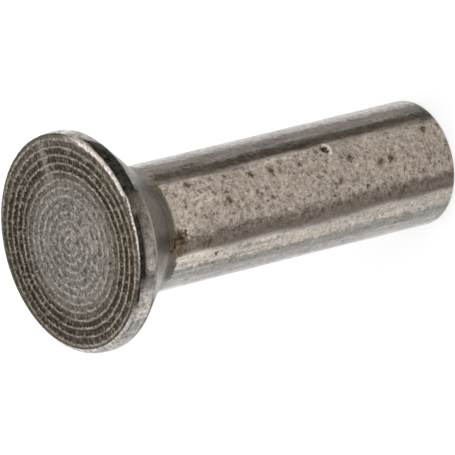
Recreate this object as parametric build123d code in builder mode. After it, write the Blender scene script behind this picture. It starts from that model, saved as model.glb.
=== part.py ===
import math
import os

from build123d import *

# Driving dimensions of the rivet, in millimetres and degrees.
# It stands on its plain end, and Z runs up the middle of the shank and out of the head.
overall_length = 28.0
shank_diameter = 8.0
tail_edge_radius = 0.25

# Head: a flat ringed face, a short bulged side, then the countersink down to the shank.
head_diameter = 14.0
face_edge_inset = 0.225
bulge_height = 0.6
side_height = 1.05
countersink_angle = 80.0
shoulder_radius = 0.3
neck_radius = 0.3

# Heading pushed the head a little to one side and left the shank fuller just below it.
head_offset = 0.18
collar_swell = 0.03
collar_length = 6.0

# Flash: the thin lip squeezed out past the edge of the face, on one side only.
flash_thickness = 0.16
flash_reach = 0.12
flash_direction = -30.0

# Rings turned into the face about the shank's middle, each a flat ridge and a V groove.
ring_pitch = 0.515
ridge_width = 0.17
first_ridge_radius = 0.59
outer_groove_depth = 0.08
inner_groove_depth = 0.035
worn_disc_radius = 3.7
cutter_overrun = 0.05

shank_radius = shank_diameter / 2
head_radius = head_diameter / 2
face_radius = head_radius - face_edge_inset
half_countersink = math.radians(countersink_angle / 2)

face_z = overall_length
bulge_z = face_z - bulge_height
side_z = face_z - side_height
neck_z = side_z - (head_radius - shank_radius) / math.tan(half_countersink)

# The countersink runs on into the shank, so that the head meets it all the way round.
root_radius = shank_radius - 2 * head_offset
root_z = side_z - (head_radius - root_radius) / math.tan(half_countersink)
collar_radius = shank_radius + collar_swell

groove_half_width = (ring_pitch - ridge_width) / 2
groove_count = math.floor((face_radius - first_ridge_radius) / ring_pitch)
groove_radii = [first_ridge_radius + (ring + 0.5) * ring_pitch for ring in range(groove_count)]

head_plane = Plane(origin=(head_offset, 0, 0), x_dir=(1, 0, 0), z_dir=(0, -1, 0))
head_axis = Axis((head_offset, 0, 0), (0, 0, 1))
flash_radius = face_radius + flash_reach / 2
flash_angle = math.radians(flash_direction)
flash_centre = (
    head_offset + flash_reach / 2 * math.cos(flash_angle),
    flash_reach / 2 * math.sin(flash_angle),
)


def groove_depth(radius):
    """The rings near the middle were pressed nearly flat when the head was struck."""
    return inner_groove_depth if radius < worn_disc_radius else outer_groove_depth


with BuildPart() as rivet:
    # Shank, with its rounded plain end and the fuller collar under the head.
    with BuildSketch(Plane.XZ):
        with BuildLine():
            Line((0, 0), (shank_radius - tail_edge_radius, 0))
            TangentArc(
                (shank_radius - tail_edge_radius, 0),
                (shank_radius, tail_edge_radius),
                tangent=(1, 0),
            )
            Polyline(
                (shank_radius, tail_edge_radius),
                (shank_radius, neck_z - collar_length),
                (collar_radius, side_z),
                (0, side_z),
                (0, 0),
            )
        make_face()
    revolve(axis=Axis.Z)

    # Head, upset about its own axis a little to one side of the shank's.
    with BuildSketch(head_plane):
        with BuildLine():
            Polyline(
                (0, root_z),
                (root_radius, root_z),
                (head_radius, side_z),
                (head_radius, bulge_z),
            )
            TangentArc(
                (head_radius, bulge_z),
                (face_radius, face_z),
                tangent=(0, 1),
            )
            Polyline((face_radius, face_z), (0, face_z), (0, root_z))
        make_face()
    revolve(axis=head_axis)

    # The corner between the head's side and its countersink is rounded by the die.
    widest_edges = rivet.edges().filter_by(GeomType.CIRCLE).group_by(SortBy.RADIUS)[-1]
    fillet(widest_edges.sort_by(Axis.Z)[0], radius=shoulder_radius)

    # The countersink blends into the shank along a curve, because the two are off centre.
    neck_edge = rivet.edges().filter_by(GeomType.BSPLINE).sort_by(Axis.Z)[0]
    fillet(neck_edge, radius=neck_radius)

    # Flash, a crescent that dies away round the far side of the face.
    with BuildSketch(Plane.XY.offset(face_z)):
        with Locations(flash_centre):
            Circle(flash_radius)
    extrude(amount=-flash_thickness)

    # Rings in the face. The ridges between the grooves stay flat, at the face itself.
    with BuildSketch(Plane.XZ):
        for radius in groove_radii:
            depth = groove_depth(radius)
            mouth = groove_half_width * (1 + cutter_overrun / depth)
            with BuildLine():
                Polyline(
                    (radius - mouth, face_z + cutter_overrun),
                    (radius, face_z - depth),
                    (radius + mouth, face_z + cutter_overrun),
                    close=True,
                )
            make_face()
    revolve(axis=Axis.Z, mode=Mode.SUBTRACT)

rivet.part.label = "rivet"

os.makedirs("parts", exist_ok=True)
export_step(rivet.part, "parts/rivet.step")
print("grooves", groove_count, "neck", round(face_z - neck_z, 2), "mm below the face")
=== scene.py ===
import math

import bmesh
import bpy
from mathutils import Matrix, Vector, noise


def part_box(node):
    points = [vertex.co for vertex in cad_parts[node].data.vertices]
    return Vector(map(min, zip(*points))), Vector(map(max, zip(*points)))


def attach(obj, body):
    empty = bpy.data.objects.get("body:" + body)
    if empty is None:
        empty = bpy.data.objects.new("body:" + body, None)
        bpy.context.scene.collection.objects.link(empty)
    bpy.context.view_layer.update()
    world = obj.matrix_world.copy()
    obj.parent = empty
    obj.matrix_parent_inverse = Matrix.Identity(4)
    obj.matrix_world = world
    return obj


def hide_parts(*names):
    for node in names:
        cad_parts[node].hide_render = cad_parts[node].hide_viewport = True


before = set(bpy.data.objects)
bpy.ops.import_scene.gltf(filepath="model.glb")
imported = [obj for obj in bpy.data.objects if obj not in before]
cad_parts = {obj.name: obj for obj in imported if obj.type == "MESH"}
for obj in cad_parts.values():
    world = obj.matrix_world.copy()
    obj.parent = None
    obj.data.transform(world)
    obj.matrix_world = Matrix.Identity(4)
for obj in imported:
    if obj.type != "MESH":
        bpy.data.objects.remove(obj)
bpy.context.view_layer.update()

MM = 0.001

# Sizes of the rivet in millimetres, as the solid has them.
# Z runs up the shank from the plain end. Azimuths are degrees round the shank, from the
# side that faces the camera (-Y) towards the side the head leans to (+X).
solid_low, solid_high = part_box("rivet")
overall_length = solid_high.z / MM
shank_radius = 4.0
head_radius = (solid_high.x - solid_low.x) / MM / 2
head_lean = (solid_high.x + solid_low.x) / MM / 2
face_radius = head_radius - 0.225
tail_edge_radius = 0.25
bulge_height = 0.6
side_height = 1.05
half_countersink = math.radians(40)
shoulder_radius = 0.3
neck_radius = 0.3
collar_swell = 0.03
collar_length = 6.0

bulge_z = overall_length - bulge_height
side_z = overall_length - side_height
neck_z = side_z - (head_radius - shank_radius) / math.tan(half_countersink)

# Flash lip: its edge is a circle set a little further over than the head, with a kink
# where it was nicked. Below it the side of the head falls back into a lap.
lip_thickness = 0.17
lip_reach = 0.14
lip_setback = 0.02
kink_azimuth = 14.0
kink_reach = 0.13
lap_depth = 0.16

# Turned rings in the face: a narrow ridge every ring_pitch, with a groove between.
ring_pitch = 0.515
first_ridge_radius = 0.59
last_ridge = 11
last_ridge_radius = first_ridge_radius + last_ridge * ring_pitch
ridge_half_width = 0.05
groove_wall = 0.1
outer_groove_depth = 0.075
inner_groove_depth = 0.022
worn_disc_radius = 3.85
rim_blend_radius = 5.3

# Mesh density
steps_round = 396
shank_row = 0.27
chip_row = 0.08
face_row = 0.058
rings_set_by_share = 9

# The chip knocked out of the shank: its place and size
chip_azimuth = 31.5
chip_height = 9.45
chip_radius = 0.37
chip_depth = 0.12

# Slight unevenness all over the shank and the side of the head
dent_depth = 0.012

# Heights of the lines where the finish of the body changes, below the neck and at the side of the head,
# and of the painted shade in the neck's crease and the painted highlight along the head's corner
neck_line = 22.7
crease_height = 23.2
corner_height = 26.78
land_height = 26.8

# Depth of the fine relief in both finishes
relief_depth = 0.02


def smoothstep(value, low, high):
    """0 below low, 1 above high, and a smooth rise between them."""
    share = min(max((value - low) / (high - low), 0.0), 1.0)
    return share * share * (3 - 2 * share)


def bump(value, centre, half_width):
    """1 at the centre, falling smoothly to 0 half a width away on either side."""
    return 1 - smoothstep(abs(value - centre), 0.0, half_width)


def arc(centre, radius, start, end, count):
    """Points of a round stretch of the outline. Angles are degrees from outwards to up."""
    points = []
    for step in range(count + 1):
        angle = math.radians(start + (end - start) * step / count)
        points.append((centre[0] + radius * math.cos(angle), centre[1] + radius * math.sin(angle)))
    return points


def shank_outline():
    """From the middle of the plain end to the start of the fillet in the neck."""
    flat_radius = shank_radius - tail_edge_radius
    points = [(flat_radius * step / 7, 0.0) for step in range(7)]
    points += arc((flat_radius, tail_edge_radius), tail_edge_radius, -90, 0, 5)
    top = neck_z - neck_radius * math.tan(half_countersink / 2)
    z = tail_edge_radius
    while z < top - shank_row:
        near_chip = abs(z - chip_height) < chip_radius * 1.4
        z += chip_row if near_chip else shank_row
        swell = collar_swell * smoothstep(z, neck_z - collar_length, neck_z)
        points.append((shank_radius + swell, z))
    return points


def head_outline():
    """From the fillet in the neck up the countersink and side to just under the lip."""
    degrees = math.degrees(half_countersink)
    tangent = neck_radius * math.tan(half_countersink / 2)
    centre = (shank_radius + collar_swell + neck_radius, neck_z - tangent)
    points = arc(centre, neck_radius, 180, 180 - degrees, 5)
    tangent = shoulder_radius * math.tan(half_countersink / 2)
    centre = (head_radius - shoulder_radius, side_z + tangent)
    shoulder = arc(centre, shoulder_radius, -degrees, 0, 5)
    start, end = points[-1], shoulder[0]
    rows = 14
    for step in range(1, rows):
        share = step / rows
        points.append((start[0] + (end[0] - start[0]) * share, start[1] + (end[1] - start[1]) * share))
    points += shoulder
    inset = head_radius - face_radius
    bulge_radius = (inset**2 + bulge_height**2) / (2 * inset)
    end_angle = math.degrees(math.asin((bulge_height - lip_thickness) / bulge_radius))
    points += arc((head_radius - bulge_radius, bulge_z), bulge_radius, 0, end_angle, 7)
    return points


def lip_outline():
    """The flash lip at the rim: its under side, its edge and its crest."""
    under = overall_length - lip_thickness
    return [
        (face_radius + 0.01, under + 0.012),
        (face_radius + 0.03, under + 0.03),
        (face_radius + 0.045, overall_length - 0.09),
        (face_radius + 0.035, overall_length - 0.035),
        (face_radius, overall_length - 0.005),
    ]


def face_rows():
    """Radii of the rows of points across the face, from the rim in to the middle."""
    rows = []
    radius = face_radius - 0.05
    fine_end = first_ridge_radius + rings_set_by_share * ring_pitch
    while radius > fine_end + face_row / 2:
        rows.append(radius)
        radius -= face_row
    shares = (1.0, 0.86, 0.7, 0.5, 0.3, 0.14)
    for ring in range(rings_set_by_share, 0, -1):
        base = first_ridge_radius + (ring - 1) * ring_pitch
        rows += [base + ring_pitch * share for share in shares]
    rows += [first_ridge_radius * share for share in (1.0, 0.8, 0.6, 0.4, 0.2)]
    return rows


def spin_outline():
    """Spins the outline into one closed body. Each point keeps its row's radius and zone."""
    mesh = bmesh.new()
    row_layer = mesh.verts.layers.float.new("row")
    zone_layer = mesh.verts.layers.float.new("zone")
    outline = [(point, 0.0) for point in shank_outline() + head_outline()]
    outline += [(point, 1.0) for point in lip_outline()]
    outline += [((radius, overall_length), 2.0) for radius in face_rows()]
    outline.append(((0.0, overall_length), 2.0))
    previous = None
    for (radius, height), zone in outline:
        vert = mesh.verts.new((0, -radius * MM, height * MM))
        vert[row_layer] = radius
        vert[zone_layer] = zone
        if previous:
            mesh.edges.new((previous, vert))
        previous = vert
    bmesh.ops.spin(
        mesh,
        geom=mesh.verts[:] + mesh.edges[:],
        cent=(0, 0, 0),
        axis=(0, 0, 1),
        dvec=(0, 0, 0),
        angle=math.tau,
        steps=steps_round,
        use_merge=True,
        use_normal_flip=False,
        use_duplicate=False,
    )
    bmesh.ops.remove_doubles(mesh, verts=mesh.verts[:], dist=1e-7)
    bmesh.ops.recalc_face_normals(mesh, faces=mesh.faces[:])
    return mesh


def around(angle, radius=1.0):
    """A point on a circle about the shank, for noise that has no seam."""
    return Vector((math.sin(angle), -math.cos(angle), 0)) * radius


def lip_stand(angle):
    """How far the edge of the flash stands out of the head's own edge at an angle round it."""
    share = 0.4 + 0.6 * smoothstep(math.sin(angle), -0.3, 0.5)
    ragged = 0.02 * noise.noise(around(angle, 14)) + 0.012 * noise.noise(around(angle, 45))
    kink = kink_reach * bump(math.degrees(angle), kink_azimuth, 6.5)
    return lip_reach * math.sin(angle) - lip_setback + kink + ragged * share


def lap_recess(angle, height):
    """The lap opens from a narrow start to the whole side, and stops short at the kink."""
    degrees = math.degrees(angle)
    below = overall_length - height
    open_side = smoothstep(degrees, 15, 18) * (1 - smoothstep(degrees, 56, 66))
    mouth = 0.25 + 0.8 * (1 - smoothstep(degrees, 25, 62))
    thin_side = 0.45 * smoothstep(degrees, -32, -22) * (1 - smoothstep(degrees, 9, 14))
    lowered = 0.05 * smoothstep(degrees, 46, 58)
    start = smoothstep(below - lowered, 0.1, 0.2)
    upper = start * (1 - smoothstep(below, mouth - 0.25, mouth))
    lower = start * (1 - smoothstep(below, 0.3, 0.5))
    return lap_depth * (open_side * upper + thin_side * lower)


def shoulder_drop(angle):
    """The corner of the head's side lies lower where the head is fuller."""
    degrees = math.degrees(angle)
    full_side = 0.16 * max(math.cos(angle + math.radians(45)), 0.0)
    near_side = 0.08 * bump(degrees, -3, 22)
    return full_side + near_side - 0.1 * bump(degrees, 55, 45)


def ring_stray(angle, radius):
    """How far a ridge strays from its circle: a little out of true, and wavy."""
    slow = noise.noise(around(angle, radius * 0.3) + Vector((0, 0, 5)))
    quick = noise.noise(around(angle, radius * 1.6) + Vector((0, 0, radius * 0.9)))
    return 0.08 * slow + 0.055 * quick * smoothstep(radius, 0.5, 2.5)


def ridge_share(radius):
    """1 on a ridge and 0 in a groove, by the radius in the turned rings."""
    apart = (radius - first_ridge_radius) / ring_pitch
    nearest = min(max(round(apart), 0), last_ridge)
    gap = abs(apart - nearest) * ring_pitch
    if radius > last_ridge_radius:
        gap = min(gap, abs(radius - last_ridge_radius - ring_pitch * 0.95))
    return 1 - smoothstep(gap, ridge_half_width, ridge_half_width + groove_wall)


def shape_face(mesh):
    row_layer = mesh.verts.layers.float["row"]
    zone_layer = mesh.verts.layers.float["zone"]
    ring_layer = mesh.verts.layers.float["ring_radius"]
    rim_layer = mesh.verts.layers.float["rim_gap"]
    for vert in mesh.verts:
        if vert[zone_layer] < 1.5:
            continue
        row = vert[row_layer]
        x, y, z = vert.co / MM
        angle = math.atan2(x, -y) if row > 1e-6 else 0.0
        to_rim = smoothstep(row, rim_blend_radius, face_radius)
        spot = around(angle, row + lip_stand(angle) * to_rim)
        spot.x += head_lean * to_rim
        near_rim = smoothstep(row, face_radius - 0.4, face_radius - 0.1)
        true_radius = spot.length - ring_stray(angle, row) * (1 - near_rim)
        ridge = ridge_share(true_radius)
        inner = 1 - smoothstep(row, worn_disc_radius - 0.3, worn_disc_radius)
        depth = outer_groove_depth + (inner_groove_depth - outer_groove_depth) * inner
        worn = max(0.3 * noise.noise(around(angle, row * 0.9) + Vector((3, 0, row))) + 0.12, 0)
        lowered = depth * (1 - ridge * (1 - worn)) * (1 - 0.8 * near_rim)
        vert[ring_layer] = true_radius
        vert[rim_layer] = face_radius - row
        vert.co = Vector((spot.x, spot.y, overall_length - lowered)) * MM


def bare_edge(height, stand):
    """Radius of the rounded edge of the head where no flash hides it."""
    inset = head_radius - face_radius - min(stand, -0.01)
    bulge_radius = (inset**2 + bulge_height**2) / (2 * inset)
    rise = min(height - bulge_z, bulge_height)
    return head_radius - bulge_radius + math.sqrt(max(bulge_radius**2 - rise**2, 0))


def shape_side(mesh):
    row_layer = mesh.verts.layers.float["row"]
    zone_layer = mesh.verts.layers.float["zone"]
    rim_layer = mesh.verts.layers.float["rim_gap"]
    chip = around(math.radians(chip_azimuth), shank_radius) + Vector((0, 0, chip_height))
    for vert in mesh.verts:
        zone = vert[zone_layer]
        row = vert[row_layer]
        if zone > 1.5 or row < 1e-6:
            continue
        x, y, z = vert.co / MM
        angle = math.atan2(x, -y)
        stand = lip_stand(angle)
        bare = smoothstep(-stand, 0.08, 0.115)
        radius = row
        if zone > 0.5:
            radius += stand * (1 - bare) + (bare_edge(z, stand) - row) * bare
            vert[rim_layer] = z - overall_length
        elif z > neck_z:
            radius -= lap_recess(angle, z)
            if z > bulge_z:
                radius += (bare_edge(z, stand) - row) * bare
            above_neck = smoothstep(z, neck_z + 0.5, side_z)
            z -= shoulder_drop(angle) * above_neck * (1 - smoothstep(z, bulge_z, bulge_z + 0.4))
            dents = noise.noise(around(angle, 6) + Vector((0, 0, z * 2)))
            radius += dent_depth * dents * smoothstep(z, neck_z, side_z)
        elif z > tail_edge_radius:
            radius += dent_depth * noise.noise(around(angle, 3) + Vector((0, 0, z * 0.5)))
            spot = around(angle, shank_radius) + Vector((0, 0, z))
            away = (spot - chip).length / chip_radius
            if away < 1.6:
                ragged = away + 0.5 * noise.noise(spot * 3.5)
                radius -= chip_depth * (1 - smoothstep(ragged, 0.35, 0.9))
                radius += 0.05 * bump(ragged, 1.0, 0.28)
        lean = head_lean * smoothstep(z, neck_z, side_z)
        spot = around(angle, radius)
        vert.co = Vector((spot.x + lean, spot.y, z)) * MM


def make_rivet():
    mesh = spin_outline()
    mesh.verts.layers.float.new("ring_radius")
    mesh.verts.layers.float.new("rim_gap")
    shape_face(mesh)
    shape_side(mesh)
    zone_layer = mesh.verts.layers.float["zone"]
    for face in mesh.faces:
        face.smooth = True
        face.material_index = 1 if min(v[zone_layer] for v in face.verts) > 0.5 else 0
    data = bpy.data.meshes.new("rivet_steel")
    mesh.to_mesh(data)
    mesh.free()
    piece = bpy.data.objects.new("rivet_steel", data)
    bpy.context.scene.collection.objects.link(piece)
    return piece


class Graph:
    """Builds one material. An input may be a number, a colour or another node's output."""

    def __init__(self, name):
        self.material = bpy.data.materials.new(name)
        self.material.use_nodes = True
        self.tree = self.material.node_tree
        self.tree.nodes.clear()

    def feed(self, socket, value):
        if isinstance(value, bpy.types.NodeSocket):
            self.tree.links.new(value, socket)
        else:
            socket.default_value = value

    def add(self, kind, inputs=None, **settings):
        made = self.tree.nodes.new(kind)
        for key, value in settings.items():
            setattr(made, key, value)
        for key, value in (inputs or {}).items():
            self.feed(made.inputs[key], value)
        return made

    def math(self, operation, first, second=0.0, clamp=False):
        made = self.add("ShaderNodeMath", {0: first, 1: second}, operation=operation, use_clamp=clamp)
        return made.outputs[0]

    def most(self, *values):
        result = values[0]
        for value in values[1:]:
            result = self.math("MAXIMUM", result, value)
        return result

    def product(self, *values):
        result = values[0]
        for value in values[1:]:
            result = self.math("MULTIPLY", result, value)
        return result

    def plus(self, *values):
        result = values[0]
        for value in values[1:]:
            result = self.math("ADD", result, value)
        return result

    def without(self, value):
        return self.math("SUBTRACT", 1.0, value)

    def rise(self, value, low, high, to_low=0.0, to_high=1.0):
        """Smooth step from to_low at low to to_high at high."""
        limits = {"From Min": low, "From Max": high, "To Min": to_low, "To Max": to_high}
        made = self.add("ShaderNodeMapRange", {"Value": value, **limits}, interpolation_type="SMOOTHSTEP")
        return made.outputs["Result"]

    def band(self, value, centre, core, fade):
        """1 within core of the centre, falling to 0 at fade from it."""
        away = self.math("ABSOLUTE", self.math("SUBTRACT", value, centre))
        return self.rise(away, core, fade, 1.0, 0.0)

    def vector(self, operation, first, second=None, scale=None):
        inputs = {0: first[:3] if isinstance(first, tuple) else first}
        if second is not None:
            inputs[1] = second
        if scale is not None:
            inputs["Scale"] = scale
        return self.add("ShaderNodeVectorMath", inputs, operation=operation)

    def scaled(self, vector, scale):
        return self.vector("SCALE", vector, scale=scale).outputs["Vector"]

    def mix(self, share, first, second):
        made = self.add("ShaderNodeMix", data_type="RGBA")
        for index, value in ((0, share), (6, first), (7, second)):
            self.feed(made.inputs[index], value)
        return made.outputs[2]

    def noise(self, vector, scale, detail=3.0, roughness=0.55):
        inputs = {"Vector": vector, "Scale": scale, "Detail": detail, "Roughness": roughness}
        return self.add("ShaderNodeTexNoise", inputs).outputs["Fac"]

    def swing(self, value, reach):
        """A noise value as a swing of at most about reach either way."""
        return self.math("MULTIPLY", self.math("SUBTRACT", value, 0.5), 2 * reach)

    def grained(self, colour, *swings):
        """Lightens and darkens a colour by swings about 0, but never below a fifth of it."""
        return self.scaled(colour, self.most(self.plus(1.0, *swings), 0.2))

    def find_places(self):
        """Object coordinates in millimetres, their parts, and the azimuth round the shank."""
        position = self.add("ShaderNodeTexCoord").outputs["Object"]
        self.place = self.scaled(position, 1 / MM)
        self.x, self.y, self.height = self.add("ShaderNodeSeparateXYZ", {0: self.place}).outputs
        towards_camera = self.math("MULTIPLY", self.y, -1.0)
        self.azimuth = self.math("DEGREES", self.math("ARCTAN2", self.x, towards_camera))

    def stretched(self, x, y, z):
        """The place with its parts scaled, to draw a pattern out along one of them."""
        return self.vector("MULTIPLY", self.place, (x, y, z)).outputs["Vector"]

    def away(self, position, azimuth, height):
        """Distance of a position from a spot on the shank, in millimetres."""
        spot = around(math.radians(azimuth), shank_radius)
        return self.vector("DISTANCE", position, (spot.x, spot.y, height)).outputs["Value"]

    def finish(self, colour, roughness, relief):
        bump_inputs = {"Height": relief, "Strength": 1.0, "Distance": relief_depth * MM}
        normal = self.add("ShaderNodeBump", bump_inputs).outputs[0]
        inputs = {"Base Color": colour, "Roughness": roughness, "Metallic": 1.0, "Normal": normal}
        shader = self.add("ShaderNodeBsdfPrincipled", inputs)
        output = self.add("ShaderNodeOutputMaterial")
        self.tree.links.new(shader.outputs["BSDF"], output.inputs["Surface"])
        return self.material


def seen(red, green, blue):
    """A colour as seen on a screen, from 0 to 255, as the linear colour a shader takes."""

    def channel(value):
        value /= 255
        return value / 12.92 if value <= 0.04045 else ((value + 0.055) / 1.055) ** 2.4

    return (channel(red), channel(green), channel(blue), 1.0)


# Streaks that run the length of the shank: painted reflections on the side towards the camera, partly also
# marks of drawing and handling, and plain tone streaks round the back.
# azimuth, half width, fade, colour
shank_reflection_streaks = (
    (12.0, 27.0, 34.0, seen(160, 149, 138)),
    (84.0, 8.0, 17.0, seen(192, 188, 184)),
    (57.0, 4.5, 10.5, seen(113, 105, 96)),
    (44.0, 2.5, 10.5, seen(60, 52, 43)),
    (-25.0, 4.0, 13.5, seen(108, 99, 90)),
    (-41.5, 4.0, 9.5, seen(186, 177, 166)),
    (-55.0, 4.0, 9.0, seen(144, 140, 135)),
    (-85.0, 6.0, 14.0, seen(190, 188, 185)),
    (112.0, 6.0, 22.0, seen(136, 130, 124)),
    (137.0, 3.0, 16.0, seen(116, 109, 102)),
    (158.0, 4.0, 14.0, seen(148, 140, 132)),
    (-112.0, 8.0, 24.0, seen(136, 131, 126)),
    (-131.0, 3.0, 13.0, seen(110, 103, 96)),
    (-152.0, 5.0, 18.0, seen(144, 137, 129)),
)

# Painted reflection streaks round the side of the head and round the countersink, set out the same way
side_reflection_streaks = (
    (0.0, 16.0, 26.0, seen(130, 122, 114)),
    (9.0, 8.0, 12.0, seen(106, 98, 88)),
    (-16.0, 3.0, 8.0, seen(150, 143, 136)),
    (-26.0, 2.0, 7.0, seen(114, 108, 102)),
    (-45.0, 5.0, 11.0, seen(182, 175, 165)),
    (-57.0, 4.0, 10.0, seen(152, 149, 145)),
    (68.0, 4.0, 10.0, seen(150, 145, 137)),
    (86.0, 7.0, 13.0, seen(192, 188, 183)),
)
cone_reflection_streaks = (
    (2.0, 22.0, 36.0, seen(126, 121, 115)),
    (-16.0, 3.0, 9.0, seen(100, 95, 88)),
    (-31.0, 5.0, 11.0, seen(146, 141, 135)),
    (-49.0, 6.0, 14.0, seen(78, 74, 69)),
    (30.0, 3.0, 13.0, seen(84, 78, 71)),
    (58.0, 4.0, 22.0, seen(106, 99, 91)),
)

# Patches of rust under the neck: azimuth, height, radius
rust_patches = (
    (-15, 22.6, 0.5),
    (-19, 22.5, 0.5),
    (-26, 22.5, 0.4),
    (-30, 22.6, 0.3),
    (-14, 22.1, 0.2),
    (-18, 23.1, 0.3),
    (-25, 23.1, 0.3),
)

# The plainest pits on the shank, and a few made up for its back: azimuth, height, radius
shank_marks = (
    (18, 8.0, 0.2),
    (9, 4.9, 0.2),
    (8, 5.8, 0.2),
    (12, 11.6, 0.1),
    (10, 10.3, 0.1),
    (-13, 10.0, 0.1),
    (-12, 7.2, 0.1),
    (-9, 2.6, 0.1),
    (28, 1.5, 0.2),
    (22, 11.9, 0.1),
    (-2, 13.4, 0.1),
    (7, 18.2, 0.2),
    (14, 18.2, 0.1),
    (25, 15.8, 0.2),
    (23, 14.2, 0.2),
    (4, 15.6, 0.1),
    (-26, 20.2, 0.2),
    (-39, 19.5, 0.1),
    (29, 17.8, 0.1),
    (29, 20.7, 0.2),
    (41, 5.4, 0.1),
    (-69, 8.3, 0.1),
    (-152, 7, 0.2),
    (-121, 15, 0.2),
    (112, 18, 0.2),
    (151, 11, 0.2),
    (-96, 20, 0.1),
)

# Two light scratches on the shank near the head: azimuth, height, reach
scratches = (
    (15.5, 20.4, 0.9),
    (11.0, 19.7, 0.5),
)


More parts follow.
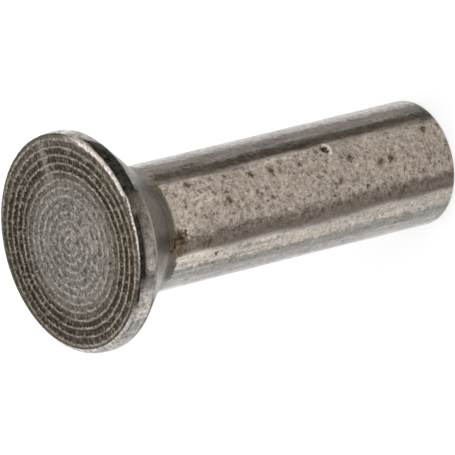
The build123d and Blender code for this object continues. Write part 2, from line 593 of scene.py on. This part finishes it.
class BodySteel(Graph):
    """The finish of the shank, neck and side of the head, with the patterns that they share."""

    def __init__(self):
        super().__init__("steel_body")
        self.find_places()
        self.along = self.stretched(1.0, 1.0, 0.16)
        self.grain = self.noise(self.place, 3.2, 4, 0.72)
        self.grit = self.noise(self.place, 9.0, 2, 0.6)
        self.blotch = self.noise(self.place, 1.3, 4, 0.6)
        drift = self.swing(self.noise(self.along, 0.7, 2), 7.0)
        ragged = (self.swing(self.blotch, 2.5), self.swing(self.grain, 4.0), self.swing(self.grit, 3.0))
        self.swayed = self.plus(self.azimuth, drift, *ragged)
        self.rough_band = self.rise(self.band(self.swayed, 8, 28, 42), 0, 1, 0.55, 1.0)
        shifted = self.vector("ADD", self.place, (0, 0, 40)).outputs["Vector"]
        self.stain = self.noise(shifted, 2.4, 4, 0.7)
        warp = self.add("ShaderNodeTexNoise", {"Vector": self.place, "Scale": 3.6, "Detail": 3.0})
        centred = self.vector("SUBTRACT", warp.outputs["Color"], (0.5, 0.5, 0.5)).outputs["Vector"]
        self.shove = self.scaled(centred, 0.7)
        self.torn = self.vector("ADD", self.place, self.shove).outputs["Vector"]

    def streaked(self, colour, streaks):
        for centre, core, fade, streak in streaks:
            colour = self.mix(self.band(self.swayed, centre, core, fade), colour, streak)
        return colour

    def shank_with_painted_reflections(self):
        """Painted reflections in light and dark streaks along the shank, with grain and brown stains, a
        little lighter near the head.
        """
        shank = self.streaked(seen(164, 160, 156), shank_reflection_streaks)
        near_head = self.product(self.rise(self.height, 18.5, 21.5), 0.17)
        shank = self.scaled(shank, self.plus(1.0, near_head))
        # Mottle within the dark painted reflection band.
        dark_reflection_band = self.band(self.swayed, 44, 8, 16)
        mottle = self.product(self.swing(self.noise(self.along, 2.2, 3, 0.6), 1.3), dark_reflection_band)
        fibre = self.noise(self.stretched(1.0, 1.0, 0.1), 3.0, 3, 0.6)
        smooth_band = self.rise(self.rough_band, 0.6, 1.0, 1.0, 0.3)
        lengthwise = self.product(self.swing(fibre, 0.5), smooth_band)
        rough_grain = self.product(self.swing(self.grain, 1.25), self.rough_band)
        fine = (self.swing(self.grit, 0.8), self.swing(self.blotch, 0.35))
        shank = self.grained(shank, rough_grain, *fine, mottle, lengthwise)
        stained = self.product(self.rise(self.stain, 0.5, 0.68), self.rough_band, 0.5)
        return self.mix(stained, shank, seen(122, 104, 86))

    def pits(self):
        """The listed pits and a fine scatter between them, and the stain round each listed one."""
        nearness = -10.0
        for azimuth, height, radius in shank_marks:
            away = self.away(self.torn, azimuth, height)
            nearness = self.most(nearness, self.math("SUBTRACT", 1.0, self.product(away, 1 / radius)))
        marks = self.rise(self.plus(nearness, self.swing(self.grain, 1.1)), -0.5, 0.4)
        halo = self.product(self.rise(nearness, -2.2, 0.0), self.rough_band, 0.28)
        cells = self.add("ShaderNodeTexVoronoi", {"Vector": self.torn, "Scale": 1.6, "Randomness": 1.0})
        size = self.rise(self.noise(self.place, 0.9, 2), 0.36, 0.64, 0.04, 0.3)
        scattered = self.rise(self.math("SUBTRACT", size, cells.outputs["Distance"]), -0.05, 0.08)
        pits = self.most(marks, self.product(scattered, self.rough_band, 0.6))
        return self.product(pits, self.rise(self.height, 22.9, 22.6)), halo

    def pitted(self, shank, pits, halo):
        shank = self.mix(halo, shank, seen(118, 100, 82))
        pit_colour = self.mix(self.rise(self.grain, 0.34, 0.7), seen(50, 36, 24), seen(104, 85, 67))
        return self.mix(self.product(pits, 0.88), shank, pit_colour)

    def scratched(self, shank):
        for azimuth, height, reach in scratches:
            slope = self.product(self.plus(self.height, -height), 2.4)
            line = self.plus(self.azimuth, slope, self.swing(self.blotch, 3.0))
            length = self.band(self.height, height, reach * 0.5, reach)
            scratch = self.product(self.band(line, azimuth, 0.5, 1.6), length)
            shank = self.mix(self.product(scratch, 0.7), shank, seen(202, 193, 182))
        return shank

    def chipped(self, shank):
        """A dark hole, partly painted shade, with a painted highlight on the burr beside it, towards the
        plain end.
        """
        nudged = self.vector("ADD", self.place, self.scaled(self.shove, 0.4)).outputs["Vector"]
        away = self.away(nudged, chip_azimuth, chip_height)
        # Painted highlight on the burr, only on its side towards the plain end.
        below_chip = self.rise(self.height, chip_height + 0.1, chip_height - 0.15)
        burr = self.product(self.band(away, 0.39, 0.05, 0.14), below_chip)
        # Dark scale with painted shade in the hole.
        hole = self.mix(self.rise(self.grain, 0.46, 0.66), seen(60, 44, 30), seen(140, 126, 112))
        shank = self.mix(self.rise(away, 0.24, 0.37, 1.0, 0.0), shank, hole)
        return self.mix(self.product(burr, 0.85), shank, seen(212, 206, 198))

    def countersink(self):
        """Smooth and dark, browned on one side, with painted reflection streaks and painted shade in the
        crease at the neck.
        """
        rubbed = self.noise(self.stretched(1.0, 1.0, 3.2), 2.2, 4, 0.6)
        cone = self.mix(self.band(self.swayed, 77, 67, 90), seen(126, 122, 117), seen(98, 91, 83))
        cone = self.streaked(cone, cone_reflection_streaks)
        dark_top = self.rise(self.height, 24.4, 26.4, 0.12, -0.2)
        tilt = self.product(dark_top, self.band(self.azimuth, 28, 6, 18))
        lower = self.plus(self.rise(self.height, 26.0, 24.4, 0.0, 0.3), tilt)
        swings = (self.swing(rubbed, 1.0), self.swing(self.grain, 0.7), self.swing(self.grit, 0.4))
        cone = self.grained(cone, *swings, lower)
        cone = self.mix(self.rise(self.stain, 0.5, 0.66, 0.0, 0.45), cone, seen(92, 80, 66))
        browned = self.product(self.band(self.azimuth, 33, 8, 20), self.rise(self.stain, 0.38, 0.58), 0.6)
        cone = self.mix(browned, cone, seen(78, 66, 50))
        # Painted shade in the crease at the neck, strongest on the side towards the camera.
        at_crease = self.band(self.height, crease_height, 0.2, 0.5)
        crease = self.product(at_crease, self.band(self.azimuth, -6, 24, 50), 0.85)
        return self.mix(crease, cone, seen(78, 71, 61))

    def rust(self):
        """Where the rust lies under the neck, and its colour."""
        rust = None
        for azimuth, height, radius in rust_patches:
            ragged = self.plus(self.away(self.torn, azimuth, height), self.swing(self.grain, 0.45))
            patch = self.rise(ragged, radius * 0.35, radius * 1.5, 1.0, 0.0)
            rust = self.most(rust, patch) if rust else patch
        colour = self.mix(self.rise(self.grain, 0.36, 0.62), seen(42, 28, 16), seen(104, 86, 62))
        greenish = self.grained(seen(104, 89, 66), self.swing(self.grain, 2.0))
        lower_side = self.product(self.rise(self.azimuth, -19, -26), self.rise(self.height, 22.95, 22.8))
        return rust, self.mix(lower_side, colour, greenish)

    def head_side(self, body):
        """The side of the head: its painted reflection streaks, and painted shade in the lap and in the gap
        under the lip.
        """
        side = self.streaked(seen(160, 156, 151), side_reflection_streaks)
        swings = (self.swing(self.grain, 1.6), self.swing(self.grit, 0.8), self.swing(self.blotch, 0.5))
        side = self.grained(side, *swings)
        lap_top = self.product(self.rise(self.azimuth, 46, 58), self.rise(self.height, 27.7, 27.8))
        lap_low = self.rise(self.azimuth, 50, 63, 27.0, 27.7)
        lap_rise = self.rise(self.math("SUBTRACT", self.height, lap_low), 0.0, 0.1)
        lap = self.product(self.band(self.swayed, 38.5, 20, 26), lap_rise, self.without(lap_top))
        near_lip = self.rise(self.plus(self.height, self.swing(self.grain, 0.15)), 27.5, 27.68)
        under_lip = self.product(self.band(self.swayed, -9, 17, 23), near_lip)
        # Painted shade, near black, for the lap and the gap under the lip.
        shade = self.mix(self.rise(self.grain, 0.3, 0.7), seen(20, 18, 15), seen(66, 63, 57))
        side = self.mix(self.most(lap, under_lip), side, shade)
        ragged_height = self.plus(self.height, self.swing(self.blotch, 0.2))
        return self.mix(self.rise(ragged_height, land_height, land_height + 0.25), body, side)

    def corner_highlight(self, body):
        """A painted highlight along the corner between the side and the countersink."""
        at_corner = self.band(self.height, corner_height, 0.06, 0.16)
        corner = self.product(at_corner, self.band(self.swayed, -3, 10, 18))
        return self.mix(self.product(corner, 0.75), body, seen(150, 142, 134))

    def plain_end(self, body):
        """The end, cut off square."""
        cut_grain = self.noise(self.stretched(0.7, 1.8, 1.0), 3.0, 3, 0.6)
        swings = (self.swing(cut_grain, 0.8), self.swing(self.grit, 0.6))
        colour = self.grained(seen(142, 136, 129), *swings)
        return self.mix(self.rise(self.height, 0.08, 0.01), body, colour)


def steel_body():
    """Shank, neck and side of the head."""
    g = BodySteel()
    pits, halo = g.pits()
    shank = g.pitted(g.shank_with_painted_reflections(), pits, halo)
    shank = g.chipped(g.scratched(shank))
    ragged_height = g.plus(g.height, g.swing(g.blotch, 0.3), g.swing(g.grain, 0.5))
    neck = g.rise(ragged_height, neck_line, neck_line + 0.16)
    body = g.mix(neck, shank, g.countersink())
    rust, rust_colour = g.rust()
    body = g.mix(g.product(rust, 0.9), body, rust_colour)
    body = g.plain_end(g.corner_highlight(g.head_side(body)))

    rough_zone = g.without(neck)
    coarse = g.product(g.swing(g.grain, 1.4), rough_zone)
    relief = g.plus(coarse, g.swing(g.grit, 0.4), g.product(pits, -2.2))
    roughness = g.plus(0.3, g.product(rough_zone, 0.06), g.product(g.most(pits, rust), 0.2))
    return g.finish(body, roughness, relief)


class FaceSteel(Graph):
    """The finish of the ringed face and the crest of the flash, with the patterns they share."""

    def __init__(self):
        super().__init__("steel_face")
        self.find_places()
        self.ring_radius = self.add("ShaderNodeAttribute", attribute_name="ring_radius").outputs["Fac"]
        self.rim_gap = self.add("ShaderNodeAttribute", attribute_name="rim_gap").outputs["Fac"]
        self.grain = self.noise(self.place, 4.0, 3, 0.72)
        self.grit = self.noise(self.place, 9.0, 2, 0.6)
        self.blotch = self.noise(self.place, 0.8, 3, 0.6)
        self.patch = self.noise(self.place, 1.7, 3, 0.6)
        ragged = self.plus(self.ring_radius, self.swing(self.grit, 0.1), self.swing(self.grain, 0.06))
        self.turns = self.math("DIVIDE", self.math("SUBTRACT", ragged, first_ridge_radius), ring_pitch)
        off_ridge = self.math("ABSOLUTE", self.math("SUBTRACT", self.turns, self.math("ROUND", self.turns)))
        apart = self.plus(self.product(off_ridge, ring_pitch), self.swing(self.patch, 0.05))
        self.ridge = self.rise(apart, 0.04, 0.12, 1.0, 0.0)

    def marks_in_rings(self):
        """Short marks across each groove and beads on each crest, at their own places in every ring."""
        level = self.stretched(1.0, 1.0, 0.0)
        outwards = self.vector("NORMALIZE", level).outputs["Vector"]
        ring_index = self.math("FLOOR", self.turns)
        ring = self.plus(self.product(ring_index, ring_pitch), first_ridge_radius)
        own_height = self.add("ShaderNodeCombineXYZ", {2: self.product(ring_index, 3.7)}).outputs[0]
        place = self.vector("ADD", self.scaled(outwards, ring), own_height).outputs["Vector"]
        return self.noise(place, 7.5, 1, 0.5), self.noise(place, 6.0, 2, 0.6)

    def ringed(self, worn, broken, beads):
        """Struck grooves are dark with scale. The middle of the face is rubbed pale and nearly flat."""
        outer = self.mix(self.rise(self.ring_radius, 4.1, 4.8), seen(92, 84, 73), seen(48, 41, 31))
        dull_side = self.rise(self.band(self.azimuth, -52, 16, 34), 0, 1, 1.0, 0.1)
        pale_rim = self.product(self.rise(self.ring_radius, 5.95, 6.3), dull_side)
        outer = self.mix(pale_rim, outer, seen(76, 69, 60))
        outer = self.mix(self.rise(broken, 0.5, 0.64), outer, seen(100, 92, 82))
        groove = self.mix(worn, outer, seen(98, 94, 88))
        crest = self.mix(worn, seen(136, 127, 116), seen(144, 138, 131))
        dark_bead = self.mix(worn, seen(92, 84, 74), seen(108, 102, 96))
        crest = self.mix(self.rise(beads, 0.52, 0.38), crest, dark_bead)
        kept = self.rise(self.patch, 0.3, 0.55, 0.45, 1.0)
        shown = self.product(self.ridge, kept, self.rise(worn, 0, 1, 1.0, 0.8))
        return self.mix(shown, groove, crest)

    def weathered(self, face, worn):
        """Rubbed patches, grain and dark specks, a little darker towards the back."""
        uneven = self.plus(self.patch, self.product(self.y, -0.02))
        rubbed = self.product(self.rise(uneven, 0.48, 0.64), worn, 0.35)
        face = self.mix(rubbed, face, seen(136, 124, 118))
        coarse = self.product(self.swing(self.noise(self.place, 2.6, 3, 0.7), 1.0), worn)
        swings = (self.swing(self.grain, 1.7), self.swing(self.blotch, 0.5), self.swing(self.grit, 0.9))
        face = self.grained(face, *swings, coarse)
        specks = self.product(self.rise(self.grain, 0.42, 0.3), self.rise(self.patch, 0.4, 0.6, 0.3, 1.0))
        face = self.mix(self.product(specks, 0.6), face, seen(62, 54, 44))
        return self.scaled(face, self.rise(self.y, -6.5, 6.5, 1.08, 0.86))

    def smeared(self, face):
        """A dry smear across the outer rings, on the side the head leans to."""
        line = self.plus(self.y, self.swing(self.blotch, 0.4), self.swing(self.grain, 0.3))
        smear = self.product(self.band(line, 0.6, 0.1, 0.42), self.rise(self.x, 3.6, 4.6))
        colour = self.grained(seen(124, 119, 111), self.swing(self.grain, 1.0))
        return self.mix(self.product(smear, 0.75), face, colour)

    def crested(self, face):
        """The crest of the flash: a painted highlight where it stands out and along its outer edge, thin
        past the kink, dull elsewhere, with painted shade in the gap under it and over the lap.
        """
        wide = self.product(self.rise(self.azimuth, 16, 24), self.rise(self.azimuth, 118, 84))
        width = self.plus(0.05, self.product(wide, 0.15), self.swing(self.grain, 0.22))
        rim = self.rise(self.math("SUBTRACT", self.rim_gap, width), -0.03, 0.04, 1.0, 0.0)
        # Painted highlight along the crest.
        bright = self.product(self.rise(self.azimuth, -36, -4), self.rise(self.azimuth, 78, 58))
        lip = self.mix(bright, seen(84, 77, 68), seen(200, 190, 182))
        outside = self.rise(self.height, 27.97, 27.88)
        # Painted shade in the gap under the lip and over the lap.
        gap_shade = self.product(self.rise(self.azimuth, 22, 12), self.rise(self.azimuth, -46, -38))
        lip = self.mix(self.product(outside, gap_shade), lip, seen(30, 28, 24))
        lap_shade = self.product(outside, self.band(self.azimuth, 34, 12, 18), 0.6)
        lip = self.mix(lap_shade, lip, seen(70, 66, 60))
        # Painted highlight along the outer edge, on the sides far from the lap.
        outer_edge = self.rise(self.rim_gap, 0.0, -0.03)
        bare_side = self.rise(self.math("ABSOLUTE", self.plus(self.azimuth, -30.0)), 68, 80)
        lip = self.mix(self.product(outer_edge, bare_side), lip, seen(200, 195, 188))
        lip = self.grained(lip, self.swing(self.grain, 1.5), self.swing(self.grit, 0.8))
        return self.mix(rim, face, lip)


def steel_face():
    """The ringed face and the crest of the flash."""
    g = FaceSteel()
    ticks, beads = g.marks_in_rings()
    broken = g.plus(g.product(ticks, 0.5), g.product(g.grain, 0.5))
    wear_edge = g.plus(g.ring_radius, g.swing(g.blotch, 1.2), g.swing(g.patch, 1.0), g.swing(g.grain, 0.8))
    worn = g.rise(wear_edge, 3.45, 4.4, 1.0, 0.0)
    face = g.weathered(g.ringed(worn, broken, beads), worn)
    face = g.crested(g.smeared(face))
    scale = g.product(g.rise(broken, 0.45, 0.65), g.without(g.ridge), 0.6)
    relief = g.plus(g.swing(g.grain, 0.8), g.swing(g.grit, 0.4), scale)
    return g.finish(face, 0.4, relief)


def make_floor():
    """A pale floor that takes the rivet's shadow and shows as white where nothing shades it."""
    half_size = 3.0
    grey = 0.4
    glow_strength = 0.65
    data = bpy.data.meshes.new("floor")
    mesh = bmesh.new()
    bmesh.ops.create_grid(mesh, x_segments=1, y_segments=1, size=half_size)
    mesh.to_mesh(data)
    mesh.free()
    floor = bpy.data.objects.new("floor", data)
    bpy.context.scene.collection.objects.link(floor)
    g = Graph("pale_floor")
    matt = g.add("ShaderNodeBsdfDiffuse", {"Color": (grey, grey, grey, 1)})
    rays = g.add("ShaderNodeLightPath")
    shown = g.most(
        rays.outputs["Is Camera Ray"],
        rays.outputs["Is Glossy Ray"],
        rays.outputs["Is Transmission Ray"],
    )
    strength = g.product(shown, glow_strength)
    glow = g.add("ShaderNodeEmission", {"Color": (1, 1, 1, 1), "Strength": strength})
    both = g.add("ShaderNodeAddShader", {0: matt.outputs[0], 1: glow.outputs[0]})
    output = g.add("ShaderNodeOutputMaterial")
    g.tree.links.new(both.outputs[0], output.inputs["Surface"])
    data.materials.append(g.material)


def make_world():
    world = bpy.data.worlds.new("studio")
    world.use_nodes = True
    background = world.node_tree.nodes["Background"]
    background.inputs["Color"].default_value = (1, 1, 1, 1)
    background.inputs["Strength"].default_value = 0.7
    bpy.context.scene.world = world


def area_lamp(name, azimuth, elevation, distance, size, power):
    """A soft lamp aimed at the middle of the rivet, at an azimuth and height round it."""
    data = bpy.data.lights.new(name, "AREA")
    data.shape = "DISK"
    data.size = size
    data.energy = power
    lamp = bpy.data.objects.new(name, data)
    level = around(math.radians(azimuth), math.cos(math.radians(elevation)))
    away = level + Vector((0, 0, math.sin(math.radians(elevation))))
    middle = Vector((0, 0, overall_length * MM / 2))
    lamp.location = middle + away * distance
    lamp.rotation_euler = (-away).to_track_quat("-Z", "Y").to_euler()
    bpy.context.scene.collection.objects.link(lamp)


def make_camera():
    """The photograph looks down at the standing rivet from far off and is turned on its side."""
    elevation = math.radians(37.72)
    distance = 607.5
    aim = Vector((-1.17, 0, 15.78))
    turn = math.radians(-103.93)
    data = bpy.data.cameras.new("camera")
    data.sensor_width = 36
    data.lens = 770.3
    data.clip_start = 0.05
    data.clip_end = 10
    back = Vector((0, -math.cos(elevation), math.sin(elevation)))
    facing = (-back).to_track_quat("-Z", "Y").to_matrix().to_4x4() @ Matrix.Rotation(turn, 4, "Z")
    camera = bpy.data.objects.new("camera", data)
    camera.matrix_world = Matrix.Translation((aim + back * distance) * MM) @ facing
    bpy.context.scene.collection.objects.link(camera)
    bpy.context.scene.camera = camera


rivet = make_rivet()
rivet.data.materials.append(steel_body())
rivet.data.materials.append(steel_face())
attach(rivet, "root")
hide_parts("rivet")

make_floor()
make_world()
area_lamp("key", 20, 60, 0.6, 0.6, 1.33)
area_lamp("softbox", 180, 40, 0.6, 0.7, 1.15)
make_camera()
bpy.context.scene.view_settings.view_transform = "Standard"
